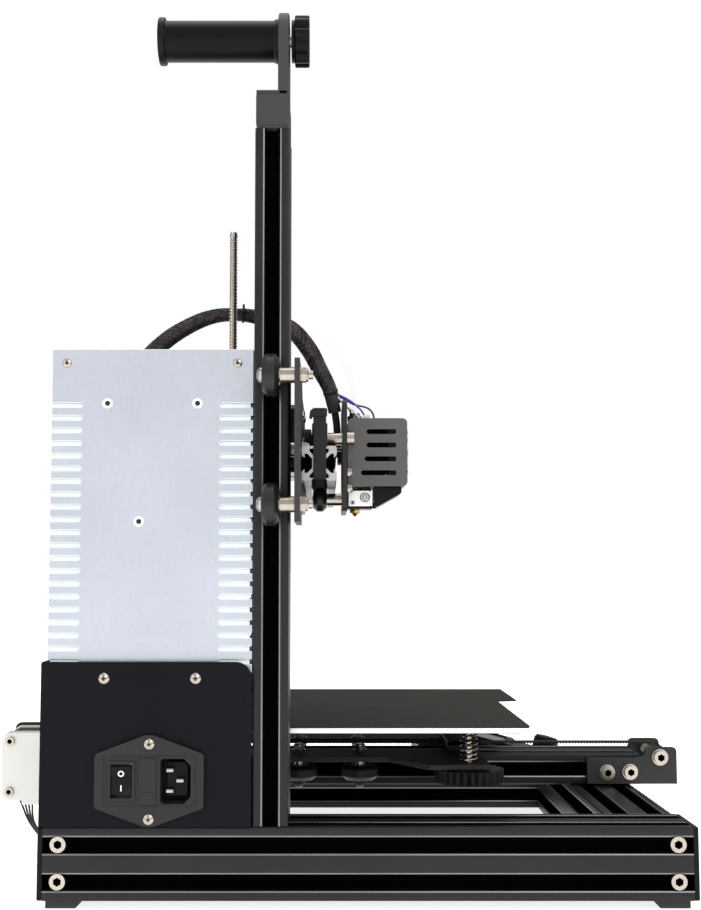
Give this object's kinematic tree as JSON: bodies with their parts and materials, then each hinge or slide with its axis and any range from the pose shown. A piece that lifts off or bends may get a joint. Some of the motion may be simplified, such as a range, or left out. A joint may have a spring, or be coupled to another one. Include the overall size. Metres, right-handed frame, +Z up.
{
  "type": "fdm printer",
  "caption": "Open-frame filament printer: slotted aluminium base, one upright, cantilevered X beam, moving heated bed, side power supply and spool holder.",
  "frame": {"origin": "bottom centre of the overall box, on the surface the feet stand on", "axes": "+Z up, -Y towards the front of the machine, where the belt tensioner is, -X towards the power supply side"},
  "size_m": [0.429, 0.4338, 0.516],
  "materials": {
    "anodised": "black anodised, satin",
    "sheet_black": "black powder coat",
    "plastic_black": "moulded, fine grain",
    "plastic_grey": "moulded, fine grain",
    "steel": "turned and plated",
    "bare_aluminium": "brushed sheet",
    "brass": "machined",
    "rubber": "matt",
    "build_surface": "fine pebbled texture",
    "screen": "dark glossy window",
    "loom": "braided sleeve",
    "ptfe": "translucent white"
  },
  "bodies": {
    "frame": {"base_left": "anodised", "base_right": "anodised", "base_front": "anodised", "base_rear": "anodised", "foot_front_left": "rubber", "foot_rear_left": "rubber", "foot_front_right": "rubber", "foot_rear_right": "rubber", "y_beam": "anodised", "y_belt": "rubber", "y_tensioner": "sheet_black", "y_motor_bracket": "sheet_black", "y_motor": "bare_aluminium", "upright": "anodised", "upright_cap": "plastic_grey", "spool_arm": "plastic_black", "spool_tube": "plastic_black", "psu_case": "bare_aluminium", "psu_cover": "sheet_black", "power_inlet": "plastic_black", "z_motor": "sheet_black", "control_box": "plastic_black", "display": "screen", "wire_loom": "loom"},
    "leadscrew": {"leadscrew": "steel"},
    "y_pulley": {"y_pulley": "steel"},
    "y_idler": {"y_idler": "steel"},
    "gantry": {"z_plate": "sheet_black", "x_beam": "anodised", "x_motor": "sheet_black", "x_belt": "rubber", "extruder_motor": "sheet_black", "extruder_body": "sheet_black"},
    "z_wheel_high": {"z_wheel_high": "rubber"},
    "z_wheel_low": {"z_wheel_low": "rubber"},
    "z_wheel_inner": {"z_wheel_inner": "rubber"},
    "x_pulley": {"x_pulley": "steel"},
    "x_idler": {"x_idler": "steel"},
    "extruder_lever": {"extruder_lever": "sheet_black"},
    "x_carriage": {"x_plate": "sheet_black", "fan_shroud": "plastic_grey", "hot_end": "bare_aluminium", "nozzle": "brass", "cooling_duct": "plastic_black", "filament_tube": "ptfe"},
    "x_wheel_left": {"x_wheel_left": "rubber"},
    "x_wheel_right": {"x_wheel_right": "rubber"},
    "x_wheel_low": {"x_wheel_low": "rubber"},
    "bed": {"y_plate": "sheet_black", "bed_plate": "bare_aluminium", "build_sheet": "build_surface"},
    "y_wheel_rear": {"y_wheel_rear": "rubber"},
    "y_wheel_front": {"y_wheel_front": "rubber"},
    "thumbwheel_front_left": {"thumbwheel_front_left": "plastic_black"},
    "thumbwheel_front_right": {"thumbwheel_front_right": "plastic_black"},
    "thumbwheel_rear_left": {"thumbwheel_rear_left": "plastic_black"},
    "thumbwheel_rear_right": {"thumbwheel_rear_right": "plastic_black"},
    "spool_knob": {"spool_knob": "plastic_black"},
    "control_knob": {"control_knob": "plastic_black"},
    "rocker_switch": {"rocker_switch": "plastic_black"}
  },
  "joints": [
    {"name": "z_travel", "type": "slide", "parent": "frame", "child": "gantry", "axis": [0, 0, 1], "range_m": [-0.124, 0.13], "deforming": ["wire_loom", "filament_tube"]},
    {"name": "x_travel", "type": "slide", "parent": "gantry", "child": "x_carriage", "axis": [1, 0, 0], "range_m": [-0.036, 0.168], "deforming": ["wire_loom", "filament_tube"]},
    {"name": "y_travel", "type": "slide", "parent": "frame", "child": "bed", "axis": [0, 1, 0], "range_m": [-0.135, 0.063]},
    {"name": "leadscrew_spin", "type": "hinge", "parent": "frame", "child": "leadscrew", "pos_m": [-0.154, 0.0684, 0.2], "axis": [0, 0, 1], "continuous": true},
    {"name": "z_wheel_high_spin", "type": "hinge", "parent": "gantry", "child": "z_wheel_high", "pos_m": [-0.201, 0.0438, 0.2943], "axis": [0, 1, 0], "continuous": true},
    {"name": "z_wheel_low_spin", "type": "hinge", "parent": "gantry", "child": "z_wheel_low", "pos_m": [-0.201, 0.0438, 0.222], "axis": [0, 1, 0], "continuous": true},
    {"name": "z_wheel_inner_spin", "type": "hinge", "parent": "gantry", "child": "z_wheel_inner", "pos_m": [-0.14, 0.0438, 0.258], "axis": [0, 1, 0], "continuous": true},
    {"name": "x_wheel_left_spin", "type": "hinge", "parent": "x_carriage", "child": "x_wheel_left", "pos_m": [-0.1145, 0.0169, 0.267], "axis": [0, 1, 0], "continuous": true},
    {"name": "x_wheel_right_spin", "type": "hinge", "parent": "x_carriage", "child": "x_wheel_right", "pos_m": [-0.0705, 0.0169, 0.267], "axis": [0, 1, 0], "continuous": true},
    {"name": "x_wheel_low_spin", "type": "hinge", "parent": "x_carriage", "child": "x_wheel_low", "pos_m": [-0.0925, 0.0169, 0.2303], "axis": [0, 1, 0], "continuous": true},
    {"name": "x_pulley_spin", "type": "hinge", "parent": "gantry", "child": "x_pulley", "pos_m": [-0.1055, 0.0245, 0.2665], "axis": [0, 1, 0], "continuous": true},
    {"name": "x_idler_spin", "type": "hinge", "parent": "gantry", "child": "x_idler", "pos_m": [0.1325, 0.0245, 0.2665], "axis": [0, 1, 0], "continuous": true},
    {"name": "y_wheel_rear_spin", "type": "hinge", "parent": "bed", "child": "y_wheel_rear", "pos_m": [-0.061, 0.0306, 0.0553], "axis": [0, 0, 1], "continuous": true},
    {"name": "y_wheel_front_spin", "type": "hinge", "parent": "bed", "child": "y_wheel_front", "pos_m": [-0.061, -0.009, 0.0553], "axis": [0, 0, 1], "continuous": true},
    {"name": "y_pulley_spin", "type": "hinge", "parent": "frame", "child": "y_pulley", "pos_m": [-0.0305, 0.1952, 0.0634], "axis": [1, 0, 0], "continuous": true},
    {"name": "y_idler_spin", "type": "hinge", "parent": "frame", "child": "y_idler", "pos_m": [-0.0305, -0.2059, 0.0634], "axis": [1, 0, 0], "continuous": true},
    {"name": "thumbwheel_front_left_turn", "type": "hinge", "parent": "bed", "child": "thumbwheel_front_left", "pos_m": [-0.1155, -0.0741, 0.0616], "axis": [0, 0, 1], "continuous": true},
    {"name": "thumbwheel_front_right_turn", "type": "hinge", "parent": "bed", "child": "thumbwheel_front_right", "pos_m": [0.0545, -0.0741, 0.0616], "axis": [0, 0, 1], "continuous": true},
    {"name": "thumbwheel_rear_left_turn", "type": "hinge", "parent": "bed", "child": "thumbwheel_rear_left", "pos_m": [-0.1155, 0.0959, 0.0616], "axis": [0, 0, 1], "continuous": true},
    {"name": "thumbwheel_rear_right_turn", "type": "hinge", "parent": "bed", "child": "thumbwheel_rear_right", "pos_m": [0.0545, 0.0959, 0.0616], "axis": [0, 0, 1], "continuous": true},
    {"name": "spool_knob_turn", "type": "hinge", "parent": "frame", "child": "spool_knob", "pos_m": [-0.1685, 0.0279, 0.5], "axis": [0, 1, 0], "continuous": true},
    {"name": "control_knob_turn", "type": "hinge", "parent": "frame", "child": "control_knob", "pos_m": [0.1521, -0.16284, 0.03591], "axis": [0, -0.2462, 0.9692], "continuous": true},
    {"name": "rocker_tilt", "type": "hinge", "parent": "frame", "child": "rocker_switch", "pos_m": [-0.1905, 0.1252, 0.0706], "axis": [0, 1, 0], "range_deg": [0, 10]},
    {"name": "extruder_lever_press", "type": "hinge", "parent": "gantry", "child": "extruder_lever", "pos_m": [-0.0465, 0.0749, 0.281], "axis": [0, 1, 0], "range_deg": [0, 10], "stiffness_Nm_per_rad": 1, "springref_deg": -2.86}
  ],
  "couplings": [
    {"joint": "leadscrew_spin", "follows": "z_travel", "rad_per_m": 785.4},
    {"joint": "z_wheel_high_spin", "follows": "z_travel", "rad_per_m": 95.238},
    {"joint": "z_wheel_low_spin", "follows": "z_travel", "rad_per_m": 95.238},
    {"joint": "z_wheel_inner_spin", "follows": "z_travel", "rad_per_m": -95.238},
    {"joint": "x_wheel_left_spin", "follows": "x_travel", "rad_per_m": 95.238},
    {"joint": "x_wheel_right_spin", "follows": "x_travel", "rad_per_m": 95.238},
    {"joint": "x_wheel_low_spin", "follows": "x_travel", "rad_per_m": -161.29},
    {"joint": "x_pulley_spin", "follows": "x_travel", "rad_per_m": -142.86},
    {"joint": "x_idler_spin", "follows": "x_travel", "rad_per_m": -142.86},
    {"joint": "y_wheel_rear_spin", "follows": "y_travel", "rad_per_m": -95.238},
    {"joint": "y_wheel_front_spin", "follows": "y_travel", "rad_per_m": -95.238},
    {"joint": "y_pulley_spin", "follows": "y_travel", "rad_per_m": -142.86},
    {"joint": "y_idler_spin", "follows": "y_travel", "rad_per_m": -142.86}
  ]
}
